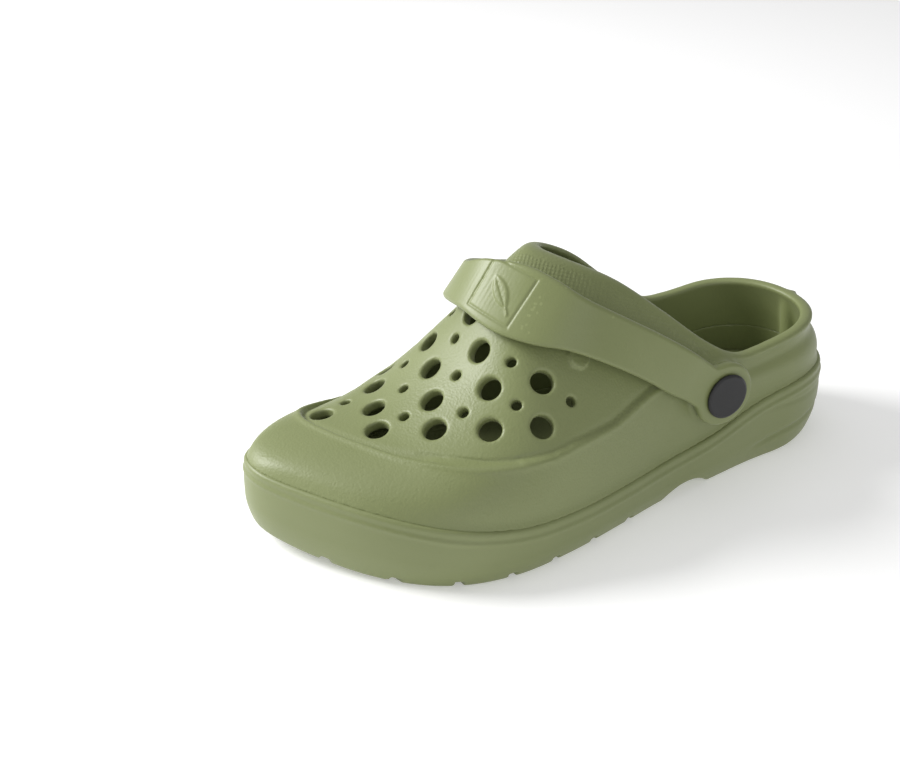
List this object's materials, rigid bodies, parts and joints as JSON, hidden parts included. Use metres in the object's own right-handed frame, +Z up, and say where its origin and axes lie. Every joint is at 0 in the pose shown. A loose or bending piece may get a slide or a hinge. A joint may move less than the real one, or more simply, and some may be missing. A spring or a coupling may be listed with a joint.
{
  "type": "rubber garden clog",
  "caption": "Slip-on moulded foam clog for the left foot with a vented toe, a cup sole, a loose footbed pad and a heel strap that swings on a rivet at each side.",
  "frame": {"origin": "on the ground, under the middle of the clog's overall length and width", "axes": "+X from heel to toe, +Y towards the outer side of the foot, +Z up"},
  "size_m": [0.29, 0.1215, 0.1128],
  "materials": {
    "sole_foam": "satin moulded foam",
    "upper_foam": "satin moulded foam with a fine pebble grain",
    "footbed_foam": "matt moulded foam",
    "strap_foam": "satin moulded foam",
    "rivet_black": "satin black plastic"
  },
  "bodies": {
    "clog": {"outsole": "sole_foam", "upper": "upper_foam", "insole": "footbed_foam", "rivet_button_lateral": "rivet_black", "rivet_button_medial": "rivet_black", "rivet_cap_lateral": "rivet_black", "rivet_cap_medial": "rivet_black"},
    "strap": {"heel_strap": "strap_foam"}
  },
  "joints": [
    {"name": "strap_swing", "type": "hinge", "parent": "clog", "child": "strap", "pos_m": [-0.057, 0, 0.048], "axis": [0, -1, 0], "range_deg": [0, 145]}
  ]
}
